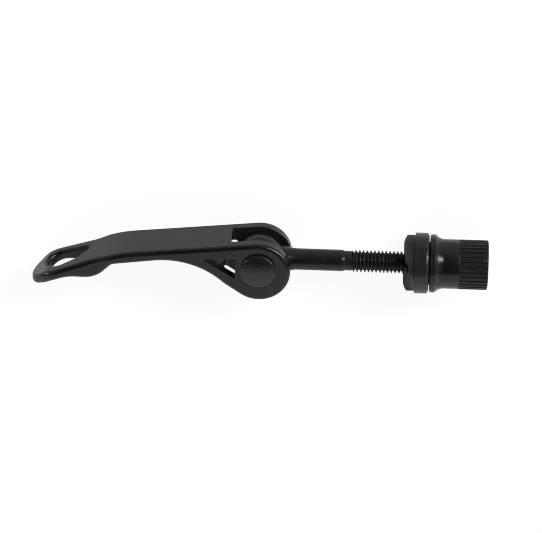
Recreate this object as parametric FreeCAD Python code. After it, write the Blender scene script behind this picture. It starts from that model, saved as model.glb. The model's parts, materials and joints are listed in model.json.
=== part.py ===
import FreeCAD, Part
import math
import os

# Quick release binder for a seatpost clamp, in millimetres, lying on its side.
# The origin is on the bolt's axis, at the middle of its plain shank. +X runs along the bolt to the nut,
# +Z along the lever's pivot, and +Y to the lever's outer, convex side. The lever stands half-way,
# in line with the bolt. Every x and y below is measured from the pivot.

# Eye bolt
eye_diameter = 13.0
eye_thickness = 6.6
neck_diameter = 9.0
neck_end = 9.6
shank_diameter = 5.7
shank_end = 22.3
relief_diameter = 5.2
relief_length = 2.2
relief_chamfer = 0.25
thread_diameter = 5.9
bolt_length = 59.5
bolt_end_chamfer = 0.6

# Lever, seen from the side: the circles that its outline runs round, some measured back from its tip
lever_reach = 60.75
lever_width = 13.4
lever_edge_radius = 1.1
ear_x = 0.05
ear_y = -0.95
ear_radius = 8.33
bend_back = 31.35
bend_top = 4.0
bend_radius = 35.0
brow_back = 6.75
brow_y = -7.75
brow_radius = 5.0
tip_y = -7.35
tip_radius = 1.35
tip_hollow_back = 11.55
tip_hollow_top = -4.4
tip_hollow_radius = 11.5
grip_back = 14.95
grip_bottom = -4.55
grip_radius = 6.5
grip_root_back = 22.95
grip_root_y = -1.95
grip_root_radius = 2.0

# Arch under the blade, aside of half-way from the grip to the heel, with a straight run on to the heel
arch_aside = 2.75
arch_top = 1.65
heel_run = 0.9695
heel_x = -5.9
heel_y = -0.85
heel_radius = 5.0

# Lever, seen from above: flanks that draw in to a waist, swell round the finger loop and close in a nose
shoulder_back = 21.75
shoulder_radius = 9.0
waist_back = 16.95
waist_depth = 0.6
waist_radius = 9.0
flank_back = 7.45
flank_radius = 7.0
nose_back = 5.35
nose_radius = 5.3

# Fork between the ears, which runs on a little under the blade
fork_gap = 7.1
fork_depth = 7.3
channel_depth = 9.4
channel_end_radius = 1.0
blade_thickness = 2.7

# Finger loop, a teardrop slot square to the sloping tip, its point bent to the lever's lower side
loop_round_back = 7.95
loop_round_radius = 3.5
loop_belly_back = 12.0
loop_belly_radius = 2.1
loop_point_back = 15.25
loop_point_radius = 0.8
loop_aside = 0.3
loop_point_aside = 1.9
loop_y = -3.7
loop_slope = 20.5
loop_edge_radius = 0.9

# Window in both side walls, a triangle with rounded corners
window_front_x = -6.45
window_back_x = -14.15
window_top = 2.75
window_back_y = 2.3
window_bottom = -2.35
window_corner_radius = 0.35

# Pivot pin, riveted: a domed head above and a flat tail below
pin_diameter = 6.0
pin_ear_clearance = 0.02
pin_eye_clearance = 0.05
head_diameter = 9.2
head_height = 1.65
head_dome = 0.7
head_edge_radius = 0.25
tail_diameter = 8.6
tail_height = 1.3
tail_chamfer = 0.35

# Cam cradle
flange_diameter = 16.05
flange_thickness = 3.7
flange_edge_radius = 0.8
horn_diameter = 14.8
horn_height = 2.95
horn_chamfer = 0.9
notch_clearance = 0.2
notch_depth = 2.75
notch_turn = 110.0
cradle_bore_clearance = 0.25

# Thumb nut
nut_length = 15.3
bolt_end_depth = 0.75
bearing_diameter = 11.5
bearing_height = 0.2
bearing_clearance = 0.05
rim_diameter = 15.4
rim_width = 1.45
rim_edge_radius = 0.45
flare_end = 3.85
barrel_diameter = 13.1
knurl_start = 7.65
flute_count = 32
flute_radius = 0.6
flute_depth = 0.32
nut_edge_radius = 0.5
nut_thread_clearance = 0.05
nut_mouth_chamfer = 0.7

# Worked out from the sizes above
cut_reach = 4 * lever_width
tip_end = -lever_reach
bend_y = bend_top - bend_radius
grip_root_x = tip_end + grip_root_back
arch_x = (grip_root_x + heel_x) / 2 - arch_aside
arch_span = heel_x - arch_x
arch_rise = arch_top - heel_y
arch_radius = (arch_span**2 + arch_rise**2 - heel_radius**2 - heel_run**2) / 2 / (heel_radius + arch_rise)
pivot_x = -(neck_end + shank_end) / 2
nut_end = bolt_length + bolt_end_depth
nut_x = nut_end - nut_length
flange_x = nut_x - bearing_height - bearing_clearance - flange_thickness
along_bolt = FreeCAD.Vector(1, 0, 0)
along_pivot = FreeCAD.Vector(0, 0, 1)
across = FreeCAD.Vector(0, 1, 0)
center = FreeCAD.Vector()
same_place = 1e-4


def belt(circles):
    """A closed wire that runs like a belt round circles (x, y, radius), anticlockwise.
    A negative radius is a hollow, which the belt passes on its other side."""
    runs = []
    for (x1, y1, r1), (x2, y2, r2) in zip(circles, circles[1:] + circles[:1]):
        heading = math.atan2(y2 - y1, x2 - x1)
        turn = math.acos((r1 - r2) / math.hypot(x2 - x1, y2 - y1))
        outward = FreeCAD.Vector(math.cos(heading - turn), math.sin(heading - turn), 0)
        start = FreeCAD.Vector(x1, y1, 0) + outward * r1
        end = FreeCAD.Vector(x2, y2, 0) + outward * r2
        runs.append((start, end, outward))
    edges = []
    for index, (x, y, radius) in enumerate(circles):
        _, arrival, outward_before = runs[index - 1]
        departure, far_end, outward_after = runs[index]
        middle = (outward_before + outward_after).normalize()
        if radius > 0 and outward_before.cross(outward_after).z < 0:
            middle = -middle
        edges.append(Part.Arc(arrival, FreeCAD.Vector(x, y, 0) + middle * radius, departure).toShape())
        edges.append(Part.LineSegment(departure, far_end).toShape())
    return Part.Wire(edges)


def slab(wire, thickness):
    """The inside of a flat XY wire, thickened evenly to both sides."""
    face = Part.Face(wire)
    face.translate(along_pivot * (-thickness / 2))
    return face.extrude(along_pivot * thickness)


def block(x_start, x_end, y_size, z_size):
    """A box between two places along X, centred on the axis."""
    corner = FreeCAD.Vector(x_start, -y_size / 2, -z_size / 2)
    return Part.makeBox(x_end - x_start, y_size, z_size, corner)


def rod(x_start, x_end, diameter):
    """A cylinder along the bolt's axis between two places."""
    return Part.makeCylinder(diameter / 2, x_end - x_start, FreeCAD.Vector(x_start, 0, 0), along_bolt)


def disc(z_start, z_end, diameter):
    """A cylinder along the pivot's axis between two heights."""
    return Part.makeCylinder(diameter / 2, z_end - z_start, FreeCAD.Vector(0, 0, z_start), along_pivot)


def rim_edges(shape, axis, place):
    """The round edges of a turned shape at one place along its axis, from the smallest to the largest."""
    rounds = [edge for edge in shape.Edges if not edge.Degenerated and isinstance(edge.Curve, Part.Circle)]
    here = [edge for edge in rounds if abs(edge.Curve.Center.dot(axis) - place) < same_place]
    return sorted(here, key=lambda edge: edge.Curve.Radius)


def straight_edges(shape, axis):
    """The straight edges of a shape that run along an axis."""
    lines = [edge for edge in shape.Edges if isinstance(edge.Curve, Part.Line)]
    return [edge for edge in lines if edge.Curve.Direction.cross(axis).Length < same_place]


def edges_on(shape, tool):
    """The edges of a shape that lie on the solid that cut them."""
    middles = [(edge, edge.valueAt((edge.FirstParameter + edge.LastParameter) / 2)) for edge in shape.Edges]
    return [edge for edge, middle in middles if Part.Vertex(middle).distToShape(tool)[0] < same_place]


def make_eye_bolt():
    """Forged eye and neck with flat sides, plain shank, relief groove and threaded end."""
    eye = Part.makeSphere(eye_diameter / 2)
    neck = Part.makeCone(neck_diameter / 2, shank_diameter / 2, neck_end, center, along_bolt)
    forging = eye.fuse(neck).common(block(-eye_diameter, neck_end, eye_diameter, eye_thickness))
    shank = rod(0, shank_end, shank_diameter)
    relief = rod(shank_end, shank_end + relief_length, relief_diameter)
    thread = rod(shank_end + relief_length, bolt_length, thread_diameter)
    thread = thread.makeChamfer(bolt_end_chamfer, rim_edges(thread, along_bolt, bolt_length))
    thread = thread.makeChamfer(relief_chamfer, rim_edges(thread, along_bolt, shank_end + relief_length))
    bore = disc(-eye_thickness, eye_thickness, pin_diameter + 2 * pin_eye_clearance)
    return forging.fuse([shank, relief, thread]).cut(bore).removeSplitter()


def make_lever():
    """Cast lever: two cam ears, side walls with windows, thin blade and a tip with a finger loop."""
    side = belt([
        (ear_x, ear_y, ear_radius),
        (tip_end + bend_back, bend_y, bend_radius),
        (tip_end + brow_back, brow_y, brow_radius),
        (tip_end + tip_radius, tip_y, tip_radius),
        (tip_end + tip_hollow_back, tip_hollow_top - tip_hollow_radius, -tip_hollow_radius),
        (tip_end + grip_back, grip_bottom + grip_radius, grip_radius),
        (grip_root_x, grip_root_y, -grip_root_radius),
        (arch_x, arch_top - arch_radius, -arch_radius),
        (heel_x, heel_y, heel_radius),
    ])
    outside = slab(make_plan(), cut_reach)
    outside.rotate(center, along_bolt, 90)
    lever = slab(side, lever_width).common(outside)
    smooth_edges = straight_edges(lever, along_pivot) + straight_edges(lever, across)
    outline_edges = [edge for edge in lever.Edges if not any(edge.isSame(other) for other in smooth_edges)]
    lever = lever.makeFillet(lever_edge_radius, outline_edges)
    fork = block(-fork_depth, cut_reach, cut_reach, fork_gap)
    window = slab(belt([
        (window_front_x, window_bottom, window_corner_radius),
        (window_front_x, window_top, window_corner_radius),
        (window_back_x, window_back_y, window_corner_radius),
    ]), cut_reach)
    bore = disc(-lever_width, lever_width, pin_diameter + 2 * pin_ear_clearance)
    return cut_loop(lever.cut([fork, make_channel(), window, bore]).removeSplitter())


def make_plan():
    """The lever's outline from above, anticlockwise from its far corner."""
    half_width = lever_width / 2
    flank = [
        (cut_reach, half_width - lever_edge_radius, lever_edge_radius),
        (tip_end + shoulder_back, half_width - shoulder_radius, shoulder_radius),
        (tip_end + waist_back, half_width - waist_depth + waist_radius, -waist_radius),
        (tip_end + flank_back, half_width - flank_radius, flank_radius),
    ]
    mirrored = [(x, -y, radius) for x, y, radius in reversed(flank)]
    return belt([*flank, (tip_end + nose_back, 0, nose_radius), *mirrored])


def make_channel():
    """The space between the side walls, under a roof that runs parallel to the blade's top."""
    under_roof = belt([
        (ear_x, ear_y, ear_radius - blade_thickness),
        (tip_end + bend_back, bend_y, bend_radius - blade_thickness),
        (ear_x, -2 * cut_reach, blade_thickness),
    ])
    limits = block(-channel_depth, 0, 2 * cut_reach, fork_gap)
    channel = slab(under_roof, fork_gap).common(limits)
    ends = [edge for edge in straight_edges(channel, across)
            if abs(edge.CenterOfMass.x + channel_depth) < same_place]
    return channel.makeFillet(channel_end_radius, ends)


def cut_loop(lever):
    """The finger loop's slot, square to the slope of the tip, with rounded edges above and below."""
    loop = slab(belt([
        (tip_end + loop_round_back, -loop_aside, loop_round_radius),
        (tip_end + loop_point_back, -loop_point_aside, loop_point_radius),
        (tip_end + loop_belly_back, -loop_aside, loop_belly_radius),
    ]), cut_reach)
    loop.rotate(center, along_bolt, 90)
    loop.translate(across * loop_y)
    loop.rotate(FreeCAD.Vector(tip_end + loop_round_back, loop_y, 0), along_pivot, loop_slope)
    lever = lever.cut(loop)
    walls = straight_edges(lever, FreeCAD.Rotation(along_pivot, loop_slope).multVec(across))
    rims = [edge for edge in edges_on(lever, loop) if not any(edge.isSame(wall) for wall in walls)]
    return lever.makeFillet(loop_edge_radius, rims)


def make_pivot_pin():
    """Riveted pin, its head and tail seated on the ears."""
    top = lever_width / 2
    shank = disc(-top, top, pin_diameter)
    dome_radius = (head_diameter ** 2 / 4 + head_dome ** 2) / (2 * head_dome)
    dome = Part.makeSphere(dome_radius, FreeCAD.Vector(0, 0, top + head_height - dome_radius))
    head = disc(top, top + head_height, head_diameter).common(dome)
    head = head.makeFillet(head_edge_radius, rim_edges(head, along_pivot, top + head_height - head_dome))
    tail = disc(-top - tail_height, -top, tail_diameter)
    tail = tail.makeChamfer(tail_chamfer, rim_edges(tail, along_pivot, -top - tail_height))
    return shank.fuse([head, tail]).removeSplitter()


def make_cam_cradle():
    """Flanged washer whose two horns stand beside a hollow for the lever's ears."""
    horn_x = flange_x - horn_height
    flange = rod(flange_x, flange_x + flange_thickness, flange_diameter)
    back_edge = rim_edges(flange, along_bolt, flange_x + flange_thickness)
    flange = flange.makeFillet(flange_edge_radius, back_edge)
    horns = rod(horn_x, flange_x, horn_diameter)
    horns = horns.makeChamfer(horn_chamfer, rim_edges(horns, along_bolt, horn_x))
    notch_radius = ear_radius + notch_clearance
    notch_axis_x = horn_x + notch_depth - notch_radius
    notch_start = FreeCAD.Vector(notch_axis_x, 0, -flange_diameter)
    notch = Part.makeCylinder(notch_radius, 2 * flange_diameter, notch_start, along_pivot)
    notch.rotate(center, along_bolt, notch_turn - 90)
    bore = rod(0, nut_x, thread_diameter + 2 * cradle_bore_clearance)
    return flange.fuse(horns).cut([notch, bore]).removeSplitter()


def make_thumb_nut():
    """Nut with a flared rim towards the clamp and straight flutes at its outer end."""
    rim = rim_diameter / 2
    barrel = barrel_diameter / 2
    hole = thread_diameter / 2 + nut_thread_clearance
    run = flare_end - rim_width
    drop = rim - barrel
    flare_radius = (run ** 2 + drop ** 2) / (2 * drop)
    half_sweep = math.asin(run / flare_radius) / 2
    flare_top = FreeCAD.Vector(nut_x + rim_width, rim, 0)
    flare_middle = FreeCAD.Vector(
        nut_x + flare_end - flare_radius * math.sin(half_sweep),
        barrel + flare_radius * (1 - math.cos(half_sweep)), 0)
    flare_foot = FreeCAD.Vector(nut_x + flare_end, barrel, 0)
    outline = Part.Wire([
        Part.Arc(flare_top, flare_middle, flare_foot).toShape(),
        *Part.makePolygon([
            flare_foot, FreeCAD.Vector(nut_end, barrel, 0), FreeCAD.Vector(nut_end, hole, 0),
            FreeCAD.Vector(nut_x, hole, 0), FreeCAD.Vector(nut_x, rim, 0), flare_top]).Edges,
    ])
    nut = Part.Face(outline).revolve(center, along_bolt, 360)
    nut = nut.makeFillet(rim_edge_radius, [rim_edges(nut, along_bolt, nut_x)[-1]])
    nut = nut.makeFillet(nut_edge_radius, [rim_edges(nut, along_bolt, nut_end)[-1]])
    nut = nut.makeChamfer(nut_mouth_chamfer, [rim_edges(nut, along_bolt, nut_end)[0]])
    bearing = rod(nut_x - bearing_height, nut_x, bearing_diameter)
    nut = nut.fuse(bearing.cut(rod(0, nut_end, 2 * hole))).removeSplitter()
    flutes = []
    for index in range(flute_count):
        flute = rod(nut_x + knurl_start, nut_end, 2 * flute_radius)
        flute.translate(across * (barrel - flute_depth + flute_radius))
        flute.rotate(center, along_bolt, 360 * index / flute_count)
        flutes.append(flute)
    return nut.cut(flutes)


pieces = {
    "eye_bolt": make_eye_bolt(),
    "lever": make_lever(),
    "pivot_pin": make_pivot_pin(),
    "cam_cradle": make_cam_cradle(),
    "thumb_nut": make_thumb_nut(),
}
os.makedirs("parts", exist_ok=True)
for name, piece in pieces.items():
    piece.translate(FreeCAD.Vector(pivot_x, 0, 0))
    piece.exportStep(f"parts/{name}.step")
    print(name, "solids", len(piece.Solids), "valid", piece.isValid(), "volume", round(piece.Volume, 1))
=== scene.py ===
import json
import math

import bmesh
import bpy
from mathutils import Matrix, Vector


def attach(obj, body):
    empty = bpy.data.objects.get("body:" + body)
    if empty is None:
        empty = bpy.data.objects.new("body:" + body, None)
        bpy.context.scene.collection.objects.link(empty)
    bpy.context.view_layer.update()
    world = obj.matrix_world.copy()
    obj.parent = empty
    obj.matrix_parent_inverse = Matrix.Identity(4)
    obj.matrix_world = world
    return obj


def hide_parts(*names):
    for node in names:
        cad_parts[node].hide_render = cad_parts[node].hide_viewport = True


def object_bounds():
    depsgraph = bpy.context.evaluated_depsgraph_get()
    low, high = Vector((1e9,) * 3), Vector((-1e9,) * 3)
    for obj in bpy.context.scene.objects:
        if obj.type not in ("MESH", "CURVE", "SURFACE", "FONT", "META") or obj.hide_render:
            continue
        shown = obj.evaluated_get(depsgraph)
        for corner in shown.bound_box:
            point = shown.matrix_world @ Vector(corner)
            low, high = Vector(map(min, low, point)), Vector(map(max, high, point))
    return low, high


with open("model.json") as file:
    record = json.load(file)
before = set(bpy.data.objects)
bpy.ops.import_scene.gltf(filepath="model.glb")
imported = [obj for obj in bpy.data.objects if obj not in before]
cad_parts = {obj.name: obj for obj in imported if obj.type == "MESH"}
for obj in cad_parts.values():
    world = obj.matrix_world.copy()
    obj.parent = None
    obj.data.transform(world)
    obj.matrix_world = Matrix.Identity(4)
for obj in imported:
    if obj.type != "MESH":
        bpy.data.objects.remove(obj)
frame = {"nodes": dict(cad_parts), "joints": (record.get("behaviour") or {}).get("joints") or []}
cad_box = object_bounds()

# The picture: its frame in pixels, where the lever's pivot shows in it, its scale there, and the width in
# pixels over which a pixel gathers light
IMAGE_WIDTH = 542
IMAGE_HEIGHT = 533
PIVOT_PIXEL = (259.6, 257.7)
PIXELS_PER_METRE = 3780.0
PIXEL_FILTER = 1.0

# The camera, seen from the pivot: above the lever's flat side, leaning to its convex side and to the nut,
# and tilted a little, in degrees. Its distance and the nearest that it shows are in metres, its sensor in mm.
LEAN_TO_BACK = 30.0
LEAN_TO_NUT = 3.2
BOLT_TILT = 0.35
CAMERA_DISTANCE = 0.7
NEAREST_SHOWN = 0.01
SENSOR_WIDTH = 36.0

# The studio round the object, as brightness by direction, where 1 is white paper in plain light. The far
# wall is towards -Y and the near one towards +Y. Each wall fades in between two values of the direction's
# component along an axis.
CEILING = 0.05
FAR_WALL = 1.68
FAR_WALL_FADE = (-0.28, -0.45)
NEAR_WALL = 0.55
NEAR_WALL_FADE = (0.0, 0.2)
NEAR_WALL_TOP_FADE = (0.55, 0.35)
SIDE_WALL = 0.45
SIDE_WALL_FADE = (0.4, 0.6)

# Two softboxes for the small highlights: where each stands, which way its long side runs, its sides in
# metres and its brightness
SOFTBOX_DISTANCE = 0.8
SOFTBOXES = {
    "softbox_right": {
        "direction": (0.72, 0.55, 0.40),
        "along": (0.54, -0.55, -0.64),
        "size": (0.8, 0.17),
        "brightness": 27.0,
    },
    "softbox_left": {
        "direction": (-0.93, 0.30, 0.20),
        "along": (0.0, -0.55, 0.83),
        "size": (0.25, 0.25),
        "brightness": 14.0,
    },
}

# The paper floor: its reach in metres, its own colour, and how much of it shows as plain white
FLOOR_REACH = 6.0
FLOOR_WHITE = 0.9
FLOOR_GLOW = 0.9

# The bolt's M6 thread: where it starts and ends from the pivot, its pitch, outer radius and depth, and the
# chamfers at its ends, in metres
THREAD_START = 0.0245
THREAD_END = 0.0595
THREAD_PITCH = 0.001
THREAD_RADIUS = 0.00293
THREAD_DEPTH = 0.0006
THREAD_END_CHAMFER = 0.0006
THREAD_START_CHAMFER = 0.0004

# The thread's flats as shares of its pitch, its facets a turn, and the spare turns that are cut off its ends
CREST_FLAT = 0.2
ROOT_FLAT = 0.25
STEPS_A_TURN = 64
TURNS_BEFORE = 2
TURNS_AFTER = 1

# The relief groove before the thread: where the solid has a square shoulder, and where the slope that takes
# its place starts and ends, from the pivot, in metres. Only the shoulder's outer edge is outside the radius.
SHOULDER = 0.0223
SLOPE_START = 0.02185
SLOPE_END = 0.0226
SHOULDER_RADIUS = 0.0027

# The broken edges of the lever's casting: their radius in metres, the facets across one and how round it is,
# the angle within which facets make one flat face, and the angle past which an edge is broken
CAST_EDGE = 0.00022
CAST_EDGE_STEPS = 3
CAST_EDGE_ROUND = 0.5
FLAT_ANGLE = math.radians(0.3)
SHARP_ANGLE = math.radians(40)

# Edges of the bolt sharper than this stay sharp, and corners closer than this, in metres, are one
SMOOTH_ANGLE = math.radians(15)
WELD = 1e-6

# The black coats: the tone as a share of white, the roughness, the gloss (the shader's specular level), the
# grain's size and depth, the tone of the lighter edges, which is a painted edge highlight with a little wear,
# the radius at which edges catch the light, and by how much turning lines change the roughness. Sizes are in
# metres.
COATS = {
    "bolt_steel": {
        "tone": 0.006, "roughness": 0.26, "gloss": 0.15, "grain_size": 0.0003, "grain_depth": 0.00001,
        "edge_light_and_wear_tone": 0.04, "edge_radius": 0.00018, "lines": 0.06,
    },
    "lever_coat": {
        "tone": 0.0035, "roughness": 0.22, "gloss": 0.21, "grain_size": 0.0003, "grain_depth": 0.00001,
        "edge_light_and_wear_tone": 0.04, "edge_radius": 0.00018, "lines": 0.0,
    },
    "pin_steel": {
        "tone": 0.006, "roughness": 0.20, "gloss": 0.24, "grain_size": 0.0006, "grain_depth": 0.00008,
        "edge_light_and_wear_tone": 0.06, "edge_radius": 0.0005, "lines": 0.0,
    },
    "cradle_plastic": {
        "tone": 0.005, "roughness": 0.32, "gloss": 0.25, "grain_size": 0.0004, "grain_depth": 0.00001,
        "edge_light_and_wear_tone": 0.015, "edge_radius": 0.00018, "lines": 0.0,
    },
    "nut_anodised": {
        "tone": 0.005, "roughness": 0.22, "gloss": 0.18, "grain_size": 0.0003, "grain_depth": 0.000003,
        "edge_light_and_wear_tone": 0.04, "edge_radius": 0.00018, "lines": 0.05,
    },
}

# A coat's blue, as a multiple of its red and green
BLUE_TINT = 1.03

# The noises in every coat: clouds and specks to the metre, and how detailed each noise is
CLOUDS_A_METRE = 170.0
SPECKS_A_METRE = 1100.0
CLOUD_DETAIL = 5.0
SPECK_DETAIL = 2.0
GRAIN_DETAIL = 3.0

# Mottling: the noise values between which it goes from none to full, the darkest and lightest tone as shares
# of the coat's own, the clouds' part in the gloss beside the specks', and the change in roughness either way
MOTTLE_FADE = (0.35, 0.65)
DARKEST = 0.75
LIGHTEST = 1.3
CLOUD_SHARE = 0.6
MOTTLED_GLOSS = 0.06

# Lighter edges, a painted edge highlight with a little wear in specks: the cosines between the softened and
# the true face, and the speck values, between which the lightening goes from none to full, and the rays that
# soften a face
EDGE_FADE = (0.97, 0.75)
EDGE_LIGHT_AND_WEAR_FADE = (0.45, 0.65)
EDGE_RAYS = 6

# Turning lines on the bolt and the nut: metres from one to the next, how much they waver and in which
# detail, and how far apart Blender's wave texture has its bands at scale 1
LINE_PITCH = 0.00025
LINE_WAVER = 0.6
LINE_DETAIL = 2.0
WAVE_PERIOD = math.pi / 10

# Dull places, the cradle's horns and the fork's inner walls: the thickness of the glossy flange behind the
# horns, half the fork's gap and the length over which the gloss fades, in metres, the cosines between a
# wall's face and the pivot's axis at which it is glossy and dull, and how much rougher the dull places are
FLANGE_THICKNESS = 0.0037
HALF_FORK_GAP = 0.00355
DULL_FADE = 0.0003
WALL_FADE = (0.8, 0.95)
DULLING = 0.28

# The colour sockets of Blender's Mix node by place, as several of its sockets share a name
MIX_FIRST_COLOUR = 6
MIX_SECOND_COLOUR = 7
MIX_COLOUR_RESULT = 2

nodes = frame["nodes"]
joints = {joint["name"]: joint for joint in frame["joints"]}
pivot = Vector(joints["lever_swing"]["pos_m"])
floor_z = cad_box[0].z


def add(tree, kind, inputs=None, **settings):
    """One shader node, its inputs given by name or place as plain values or as sockets to link."""
    made = tree.nodes.new("ShaderNode" + kind)
    for key, value in settings.items():
        setattr(made, key, value)
    for key, value in (inputs or {}).items():
        if isinstance(value, bpy.types.NodeSocket):
            tree.links.new(value, made.inputs[key])
        else:
            made.inputs[key].default_value = value
    return made


def spread(tree, value, start, end, low, high, smooth=False):
    """A value that goes from low to high while the given one goes from start to end."""
    limits = {"Value": value, "From Min": start, "From Max": end, "To Min": low, "To Max": high}
    style = "SMOOTHSTEP" if smooth else "LINEAR"
    return add(tree, "MapRange", limits, interpolation_type=style).outputs["Result"]


def math_node(tree, operation, first, second):
    """The outcome of one operation on two values, each a number or a socket."""
    return add(tree, "Math", {0: first, 1: second}, operation=operation).outputs[0]


def noise(tree, place, scale, detail):
    """A noise with about as many blots to the metre as its scale."""
    return add(tree, "TexNoise", {"Vector": place, "Scale": scale, "Detail": detail}).outputs["Fac"]


def grey(level):
    """A coat's colour at a level of brightness."""
    return (level, level, level * BLUE_TINT, 1.0)


def blend_colours(tree, share, first, second):
    """A mix of two colours, each a plain grey or a socket."""
    made = add(tree, "Mix", {"Factor": share}, data_type="RGBA")
    for place, colour in ((MIX_FIRST_COLOUR, first), (MIX_SECOND_COLOUR, second)):
        if isinstance(colour, bpy.types.NodeSocket):
            tree.links.new(colour, made.inputs[place])
        else:
            made.inputs[place].default_value = grey(colour)
    return made.outputs[MIX_COLOUR_RESULT]


def add_camera():
    """The camera at the photograph's angle, its picture upright with the lever's back on top."""
    lean, turn = math.radians(LEAN_TO_BACK), math.radians(LEAN_TO_NUT)
    back = Vector((math.cos(lean) * math.sin(turn), math.sin(lean), math.cos(lean) * math.cos(turn)))
    right = Vector((0, 1, 0)).cross(back).normalized()
    axes = Matrix((right, back.cross(right), back)).transposed()
    axes = Matrix.Rotation(math.radians(BOLT_TILT), 3, "Z") @ axes
    right, up, back = axes.transposed()
    pixel_size = 1 / PIXELS_PER_METRE
    aside = (PIVOT_PIXEL[0] - IMAGE_WIDTH / 2) * pixel_size
    above = (IMAGE_HEIGHT / 2 - PIVOT_PIXEL[1]) * pixel_size
    data = bpy.data.cameras.new("camera")
    data.sensor_width = SENSOR_WIDTH
    data.lens = SENSOR_WIDTH * PIXELS_PER_METRE * CAMERA_DISTANCE / IMAGE_WIDTH
    data.clip_start = NEAREST_SHOWN
    camera = bpy.data.objects.new("camera", data)
    place = pivot + back * CAMERA_DISTANCE - right * aside - up * above
    camera.matrix_world = Matrix.Translation(place) @ axes.to_4x4()
    bpy.context.scene.collection.objects.link(camera)
    bpy.context.scene.camera = camera


def add_floor():
    """White paper under the object, plain white to the eye and in the gloss, with the object's shadow."""
    mesh = bpy.data.meshes.new("floor")
    corners = [(-1, -1), (1, -1), (1, 1), (-1, 1)]
    mesh.from_pydata([(x * FLOOR_REACH, y * FLOOR_REACH, floor_z) for x, y in corners], [], [(0, 1, 2, 3)])
    floor = bpy.data.objects.new("floor", mesh)
    bpy.context.scene.collection.objects.link(floor)
    material = bpy.data.materials.new("floor_paper")
    material.use_nodes = True
    tree = material.node_tree
    tree.nodes.clear()
    path = add(tree, "LightPath").outputs
    seen = math_node(tree, "MAXIMUM", path["Is Camera Ray"], path["Is Glossy Ray"])
    seen = math_node(tree, "MAXIMUM", seen, path["Is Transmission Ray"])
    share = math_node(tree, "MULTIPLY", seen, FLOOR_GLOW)
    paper = add(tree, "BsdfDiffuse", {"Color": (FLOOR_WHITE, FLOOR_WHITE, FLOOR_WHITE, 1)})
    glow = add(tree, "Emission", {"Color": (1, 1, 1, 1), "Strength": 1.0})
    mix = add(tree, "MixShader", {"Fac": share, 1: paper.outputs[0], 2: glow.outputs[0]})
    add(tree, "OutputMaterial", {"Surface": mix.outputs[0]})
    mesh.materials.append(material)


def add_softbox(name, direction, along, size, brightness):
    """A rectangular light that faces the frame's origin."""
    data = bpy.data.lights.new(name, "AREA")
    data.shape = "RECTANGLE"
    data.size, data.size_y = size
    data.energy = brightness * math.pi * size[0] * size[1]
    light = bpy.data.objects.new(name, data)
    away = Vector(direction).normalized()
    upright = away.cross(Vector(along)).normalized()
    axes = Matrix((upright.cross(away), upright, away)).transposed()
    light.matrix_world = Matrix.Translation(away * SOFTBOX_DISTANCE) @ axes.to_4x4()
    bpy.context.scene.collection.objects.link(light)


def add_world():
    """A studio with pale walls and a dark ceiling, which the black coats mirror as soft bands."""
    world = bpy.data.worlds.new("studio")
    world.use_nodes = True
    tree = world.node_tree
    axis = add(tree, "SeparateXYZ", {0: add(tree, "TexCoord").outputs["Generated"]}).outputs
    far = spread(tree, axis["Y"], *FAR_WALL_FADE, 0, FAR_WALL, smooth=True)
    near = spread(tree, axis["Y"], *NEAR_WALL_FADE, 0, NEAR_WALL, smooth=True)
    low = spread(tree, axis["Z"], *NEAR_WALL_TOP_FADE, 0, 1, smooth=True)
    near = math_node(tree, "MULTIPLY", near, low)
    aside = math_node(tree, "MULTIPLY", axis["X"], axis["X"])
    aside = spread(tree, aside, *[edge * edge for edge in SIDE_WALL_FADE], 0, SIDE_WALL, smooth=True)
    light = math_node(tree, "MAXIMUM", math_node(tree, "MAXIMUM", far, near), aside)
    light = math_node(tree, "MAXIMUM", light, CEILING)
    tree.links.new(light, tree.nodes["Background"].inputs["Strength"])
    tree.nodes["Background"].inputs["Color"].default_value = (1, 1, 1, 1)
    bpy.context.scene.world = world


def horns(tree, place):
    """A mask of the cradle's horns, which the cam rubs."""
    along = add(tree, "SeparateXYZ", {0: place}).outputs["X"]
    flange_x = max(corner.co.x for corner in nodes["cam_cradle"].data.vertices) - FLANGE_THICKNESS
    return spread(tree, along, flange_x - DULL_FADE, flange_x, 1, 0)


def fork_walls(tree, place):
    """A mask of the walls inside the lever's fork, left rough from casting."""
    face = add(tree, "TexCoord").outputs["Normal"]
    across, facing = [add(tree, "SeparateXYZ", {0: vector}).outputs["Z"] for vector in (place, face)]
    across, facing = [math_node(tree, "ABSOLUTE", value, 0) for value in (across, facing)]
    between = spread(tree, across, HALF_FORK_GAP, HALF_FORK_GAP + DULL_FADE, 1, 0)
    return math_node(tree, "MULTIPLY", between, spread(tree, facing, *WALL_FADE, 0, 1))


def edge_light_and_wear(tree, soft_face, speck):
    """A mask of the lighter specks along the edges: a painted edge highlight, with a little wear."""
    true_face = add(tree, "NewGeometry").outputs["Normal"]
    facing = add(tree, "VectorMath", {0: soft_face, 1: true_face}, operation="DOT_PRODUCT").outputs["Value"]
    edge = spread(tree, facing, *EDGE_FADE, 0, 1)
    return math_node(tree, "MULTIPLY", edge, spread(tree, speck, *EDGE_LIGHT_AND_WEAR_FADE, 0, 1))


def turning_lines(tree, place, change):
    """A change in roughness, up and down, in lines round the bolt's axis."""
    scale = WAVE_PERIOD / LINE_PITCH
    bands = {"Vector": place, "Scale": scale, "Distortion": LINE_WAVER, "Detail": LINE_DETAIL}
    bands = add(tree, "TexWave", bands, bands_direction="X").outputs["Fac"]
    return spread(tree, bands, 0, 1, -change, change)


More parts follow.
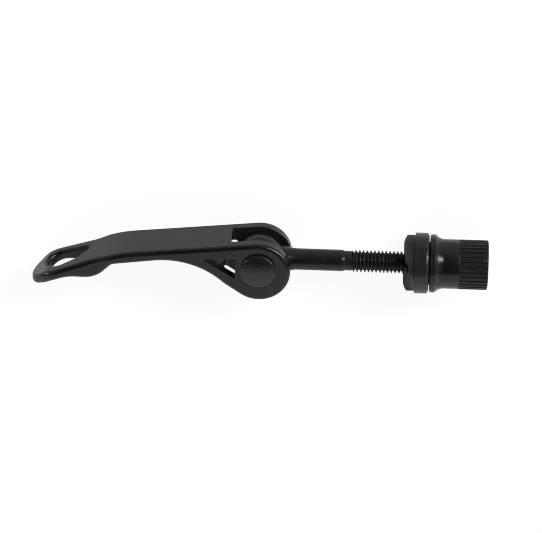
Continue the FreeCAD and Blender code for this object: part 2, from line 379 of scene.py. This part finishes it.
def coat(name, dull=None):
    """A black coat: mottled tone and gloss, fine grain, edges that catch the light and are painted lighter as
    a highlight with a little wear, turning lines where the piece is turned, and dull places, given by a
    function that makes their mask."""
    look = COATS[name]
    material = bpy.data.materials.new(name)
    material.use_nodes = True
    tree = material.node_tree
    shader = tree.nodes["Principled BSDF"]
    shader.inputs["Specular IOR Level"].default_value = look["gloss"]
    place = add(tree, "TexCoord").outputs["Object"]
    grain = noise(tree, place, 1 / look["grain_size"], GRAIN_DETAIL)
    cloud = noise(tree, place, CLOUDS_A_METRE, CLOUD_DETAIL)
    speck = noise(tree, place, SPECKS_A_METRE, SPECK_DETAIL)
    soft_face = add(tree, "Bevel", {"Radius": look["edge_radius"]}, samples=EDGE_RAYS).outputs["Normal"]

    share = spread(tree, cloud, *MOTTLE_FADE, 0, 1)
    tone = blend_colours(tree, share, look["tone"] * DARKEST, look["tone"] * LIGHTEST)
    # The edges' lighter specks: a painted edge highlight, with a little wear
    tone = blend_colours(tree, edge_light_and_wear(tree, soft_face, speck), tone, look["edge_light_and_wear_tone"])
    tree.links.new(tone, shader.inputs["Base Color"])

    clouds = math_node(tree, "MULTIPLY", cloud, CLOUD_SHARE)
    specks = math_node(tree, "MULTIPLY", speck, 1 - CLOUD_SHARE)
    glossiest, dullest = look["roughness"] - MOTTLED_GLOSS, look["roughness"] + MOTTLED_GLOSS
    sheen = spread(tree, math_node(tree, "ADD", clouds, specks), *MOTTLE_FADE, glossiest, dullest)
    if look["lines"]:
        sheen = math_node(tree, "ADD", sheen, turning_lines(tree, place, look["lines"]))
    if dull:
        sheen = math_node(tree, "ADD", sheen, math_node(tree, "MULTIPLY", dull(tree, place), DULLING))
    tree.links.new(sheen, shader.inputs["Roughness"])

    bumped = {"Height": grain, "Distance": look["grain_depth"], "Strength": 1.0, "Normal": soft_face}
    tree.links.new(add(tree, "Bump", bumped).outputs["Normal"], shader.inputs["Normal"])
    return material


def dress(node, material):
    """Gives a CAD node its material."""
    data = nodes[node].data
    data.materials.clear()
    data.materials.append(material)


def make_piece(name, shape, material, smooth_angle, body, node):
    """A new piece from a finished bmesh, in a node's place, smooth but for its sharp edges. Normals that came
    along with a solid's facets no longer fit and are dropped."""
    mesh = bpy.data.meshes.new(name)
    shape.to_mesh(mesh)
    shape.free()
    copied_normals = mesh.attributes.get("custom_normal")
    if copied_normals:
        mesh.attributes.remove(copied_normals)
    mesh.shade_smooth()
    mesh.set_sharp_from_angle(angle=smooth_angle)
    mesh.materials.append(material)
    piece = bpy.data.objects.new(name, mesh)
    bpy.context.scene.collection.objects.link(piece)
    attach(piece, body)
    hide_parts(node)
    return piece


def copy_solid(node):
    """A node's shape, its facets joined at their corners."""
    shape = bmesh.new()
    shape.from_mesh(nodes[node].data)
    bmesh.ops.remove_doubles(shape, verts=shape.verts[:], dist=WELD)
    return shape


def make_casting(material):
    """The lever with its sharp edges broken, as a casting has them."""
    shape = copy_solid("lever")
    bmesh.ops.dissolve_limit(shape, angle_limit=FLAT_ANGLE, verts=shape.verts[:], edges=shape.edges[:])
    sharp = [edge for edge in shape.edges if edge.calc_face_angle() > SHARP_ANGLE]
    form = {"offset": CAST_EDGE, "segments": CAST_EDGE_STEPS, "profile": CAST_EDGE_ROUND}
    bmesh.ops.bevel(shape, geom=sharp, affect="EDGES", **form)
    piece = make_piece("lever_casting", shape, material, SHARP_ANGLE, "lever", "lever")
    piece.modifiers.new("flat_faces", "WEIGHTED_NORMAL").keep_sharp = True


def cut_across(shape, x, side):
    """Cuts a shape across the bolt at x, clears the part on one side, 1 for towards the nut and -1 for away
    from it, and closes the cut."""
    everything = shape.verts[:] + shape.edges[:] + shape.faces[:]
    plane = {"plane_co": (x, 0, 0), "plane_no": (side, 0, 0)}
    cut = bmesh.ops.bisect_plane(shape, geom=everything, dist=WELD, clear_outer=True, **plane)
    rim = [part for part in cut["geom_cut"] if isinstance(part, bmesh.types.BMEdge)]
    bmesh.ops.holes_fill(shape, edges=rim, sides=0)


def make_forging(material):
    """The bolt's eye, neck, shank and relief groove up to the thread, with the groove's shoulder sloped."""
    shape = copy_solid("eye_bolt")
    cut_across(shape, pivot.x + THREAD_START, 1)
    for corner in shape.verts:
        if abs(corner.co.x - pivot.x - SHOULDER) < WELD:
            outer = math.hypot(corner.co.y, corner.co.z) > SHOULDER_RADIUS
            corner.co.x = pivot.x + (SLOPE_START if outer else SLOPE_END)
    make_piece("eye_bolt_forging", shape, material, SMOOTH_ANGLE, "bolt", "eye_bolt")


def thread_height(phase):
    """How far the thread stands up at a share of its pitch, from 0 in the root to 1 on the crest."""
    rise = abs(phase % 1.0 - 0.5) * 2
    return min(1.0, max(0.0, (rise - ROOT_FLAT) / (1 - ROOT_FLAT - CREST_FLAT)))


def make_thread(material):
    """The right-hand thread: a grid of rows that wind round the bolt, each row's last step joined to the first
    step of the row one pitch on."""
    crest, root = CREST_FLAT / 2, ROOT_FLAT / 2
    flank = (crest + 0.5 - root) / 2
    phases = [0, crest, flank, 0.5 - root, 0.5, 0.5 + root, 1 - flank, 1 - crest]
    start, end = pivot.x + THREAD_START, pivot.x + THREAD_END
    turns = math.ceil((THREAD_END - THREAD_START) / THREAD_PITCH) + TURNS_BEFORE + TURNS_AFTER
    shape = bmesh.new()
    rows = []
    for turn in range(turns):
        for phase in phases:
            row = []
            for step in range(STEPS_A_TURN):
                share = step / STEPS_A_TURN
                x = start + (turn - TURNS_BEFORE + phase + share) * THREAD_PITCH
                radius = THREAD_RADIUS - THREAD_DEPTH * (1 - thread_height(phase))
                radius = min(radius, THREAD_RADIUS - THREAD_START_CHAMFER + max(0, x - start))
                radius = min(radius, THREAD_RADIUS - THREAD_END_CHAMFER + max(0, end - x))
                angle = 2 * math.pi * share
                row.append(shape.verts.new((x, radius * math.cos(angle), radius * math.sin(angle))))
            rows.append(row)
    for low in range(len(rows) - 1):
        high = low + 1
        for step in range(STEPS_A_TURN):
            after, shift = (step + 1, 0) if step + 1 < STEPS_A_TURN else (0, len(phases))
            if high + shift < len(rows):
                here = (rows[low][step], rows[high][step])
                there = (rows[high + shift][after], rows[low + shift][after])
                shape.faces.new(here + there)
    cut_across(shape, start, -1)
    cut_across(shape, end, 1)
    bmesh.ops.recalc_face_normals(shape, faces=shape.faces[:])
    make_piece("bolt_thread", shape, material, SMOOTH_ANGLE, "bolt", "eye_bolt")


bpy.context.scene.view_settings.view_transform = "Standard"
bpy.context.scene.cycles.filter_width = PIXEL_FILTER
add_camera()
add_floor()
add_world()
for name, box in SOFTBOXES.items():
    add_softbox(name, **box)

bolt_steel = coat("bolt_steel")
lever_coat = coat("lever_coat", dull=fork_walls)
dress("eye_bolt", bolt_steel)
dress("lever", lever_coat)
dress("pivot_pin", coat("pin_steel"))
dress("cam_cradle", coat("cradle_plastic", dull=horns))
dress("thumb_nut", coat("nut_anodised"))
make_casting(lever_coat)
make_forging(bolt_steel)
make_thread(bolt_steel)
